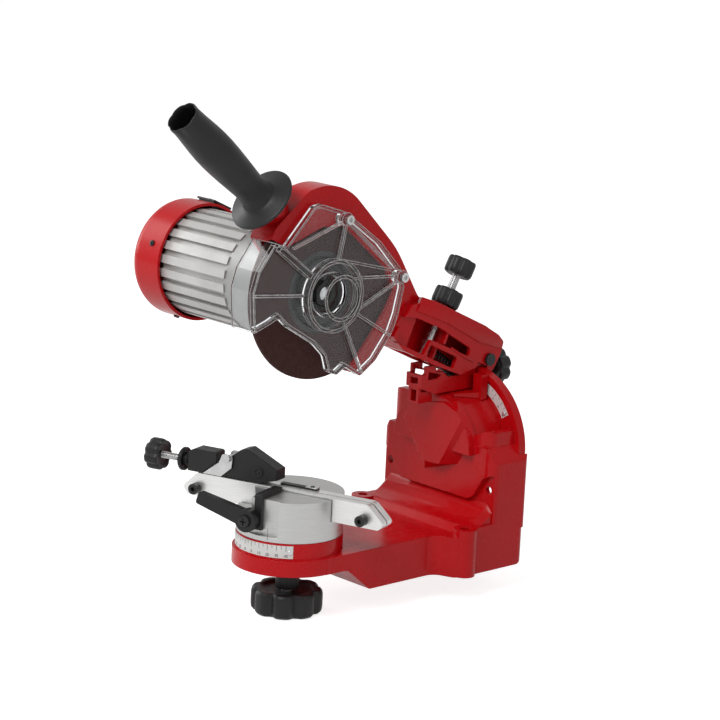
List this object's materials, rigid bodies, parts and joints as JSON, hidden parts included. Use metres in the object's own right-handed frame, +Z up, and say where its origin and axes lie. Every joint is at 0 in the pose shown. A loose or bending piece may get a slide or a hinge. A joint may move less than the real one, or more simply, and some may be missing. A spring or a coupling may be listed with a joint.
{
  "type": "saw chain sharpener",
  "caption": "Electric bench grinder for saw chains: tilting, swinging grinding head with guard and motor over a swivelling chain vise.",
  "frame": {"origin": "middle of the line through the two bench-bolt holes, on the foot's underside", "axes": "+X to the user's right, +Y to the back, +Z up; the vise turns about the vertical line through X = 0"},
  "size_m": [0.2726, 0.3696, 0.4298],
  "materials": {
    "red_casting": "gloss red powder coat",
    "black_plastic": "fine moulded texture",
    "cast_aluminium": "shot-blasted",
    "steel": "zinc plated",
    "black_steel": "black oxide",
    "clear_cover": "clear moulded plastic",
    "abrasive": "brown bonded grit",
    "scale_film": "printed white film",
    "motor_core": "laminated steel and winding",
    "fan_plastic": "moulded"
  },
  "bodies": {
    "base": {"base_casting": "red_casting", "tilt_scale": "scale_film", "swivel_scale": "scale_film", "tilt_pivot_bolt": "steel"},
    "vise": {"turntable": "cast_aluminium", "front_rail": "cast_aluminium", "rear_rail": "cast_aluminium", "rail_screws": "steel", "swivel_stud": "steel", "clamp_bar": "black_plastic", "lever_screw": "steel", "stop_block": "black_plastic", "guide_strip": "black_plastic"},
    "clamp_lever": {"clamp_lever": "black_plastic"},
    "swivel_knob": {"swivel_knob": "black_plastic", "swivel_knob_collar": "black_plastic"},
    "stop_slide": {"stop_strap": "steel", "pawl_pin": "steel"},
    "stop_pawl": {"stop_pawl": "black_plastic"},
    "stop_screw": {"stop_screw": "steel", "stop_knob": "black_plastic"},
    "stop_lock_wheel": {"stop_lock_wheel": "black_plastic"},
    "bracket": {"tilt_bracket": "red_casting", "hinge_pin": "steel"},
    "tilt_knob": {"tilt_knob": "black_plastic", "tilt_screw": "steel"},
    "head": {"head_casting": "red_casting", "wheel_cover": "clear_cover", "cover_screws": "steel", "motor_end_shield": "cast_aluminium", "motor_housing": "cast_aluminium", "motor_back_plate": "cast_aluminium", "motor_cap": "red_casting", "stator": "motor_core", "bearings": "steel", "handle_grip": "black_plastic", "handle_stud": "steel", "return_spring": "black_steel", "switch_frame": "black_plastic", "cable_gland": "black_plastic"},
    "spindle": {"spindle": "steel", "grinding_wheel": "abrasive", "outer_flange": "steel", "spindle_nut": "steel", "rotor": "motor_core", "cooling_fan": "fan_plastic"},
    "power_switch": {"power_switch": "black_plastic"},
    "depth_screw": {"depth_screw": "steel"},
    "depth_knob": {"depth_knob": "black_plastic"},
    "depth_lock_knob": {"depth_lock_knob": "black_plastic"}
  },
  "joints": [
    {"name": "vise_swivel", "type": "hinge", "parent": "base", "child": "vise", "pos_m": [0, -0.142, 0.05], "axis": [0, 0, 1], "range_deg": [-54.2, 15.8]},
    {"name": "swivel_knob_spin", "type": "hinge", "parent": "vise", "child": "swivel_knob", "pos_m": [0, -0.142, -0.01], "axis": [0, 0, 1], "range_deg": [-360, 360]},
    {"name": "clamp_lever_turn", "type": "hinge", "parent": "vise", "child": "clamp_lever", "pos_m": [0.00228, -0.18991, 0.0644], "axis": [0.3289, -0.9444, 0], "range_deg": [0, 60]},
    {"name": "stop_screw_spin", "type": "hinge", "parent": "stop_slide", "child": "stop_screw", "pos_m": [-0.10388, -0.17818, 0.0913], "axis": [0.9444, 0.3289, 0], "range_deg": [-1086, 1086]},
    {"name": "stop_slide_travel", "type": "slide", "parent": "vise", "child": "stop_slide", "axis": [0.9444, 0.3289, 0], "range_m": [-0.003, 0.003]},
    {"name": "stop_pawl_lift", "type": "hinge", "parent": "stop_slide", "child": "stop_pawl", "pos_m": [-0.05383, -0.16074, 0.101], "axis": [0.3289, -0.9444, 0], "range_deg": [0, 50]},
    {"name": "stop_lock_spin", "type": "hinge", "parent": "vise", "child": "stop_lock_wheel", "pos_m": [-0.09633, -0.17554, 0.0913], "axis": [0.9444, 0.3289, 0], "range_deg": [-180, 180]},
    {"name": "head_tilt", "type": "hinge", "parent": "base", "child": "bracket", "pos_m": [0, 0.07, 0.098], "axis": [0, 1, 0], "range_deg": [0, 35]},
    {"name": "tilt_knob_spin", "type": "hinge", "parent": "bracket", "child": "tilt_knob", "pos_m": [0, 0.09, 0.159], "axis": [0, 1, 0], "range_deg": [-180, 180]},
    {"name": "head_swing", "type": "hinge", "parent": "bracket", "child": "head", "pos_m": [0, 0.0685, 0.17], "axis": [1, 0, 0], "range_deg": [0, 24.4], "stiffness_Nm_per_rad": 6, "springref_deg": -91.67, "deforming": ["return_spring"]},
    {"name": "spindle_spin", "type": "hinge", "parent": "head", "child": "spindle", "pos_m": [0, -0.12221, 0.2463], "axis": [1, 0, 0], "continuous": true},
    {"name": "power_switch_rock", "type": "hinge", "parent": "head", "child": "power_switch", "pos_m": [-0.161, -0.10305, 0.28856], "axis": [0, 0.9107, -0.4131], "range_deg": [0, 12]},
    {"name": "depth_knob_spin", "type": "hinge", "parent": "depth_screw", "child": "depth_knob", "pos_m": [0, 0.04157, 0.25232], "axis": [0, 0.4756, 0.8796], "range_deg": [-5, 2166]},
    {"name": "depth_screw_travel", "type": "slide", "parent": "head", "child": "depth_screw", "axis": [0, 0.4756, 0.8796], "range_m": [0, 0.0075]},
    {"name": "depth_lock_spin", "type": "hinge", "parent": "head", "child": "depth_lock_knob", "pos_m": [0, 0.0273, 0.22593], "axis": [0, 0.4756, 0.8796], "range_deg": [-180, 180]}
  ],
  "couplings": [
    {"joint": "stop_screw_spin", "follows": "stop_slide_travel", "rad_per_m": 6283.2},
    {"joint": "depth_knob_spin", "follows": "depth_screw_travel", "rad_per_m": 5026.5}
  ]
}
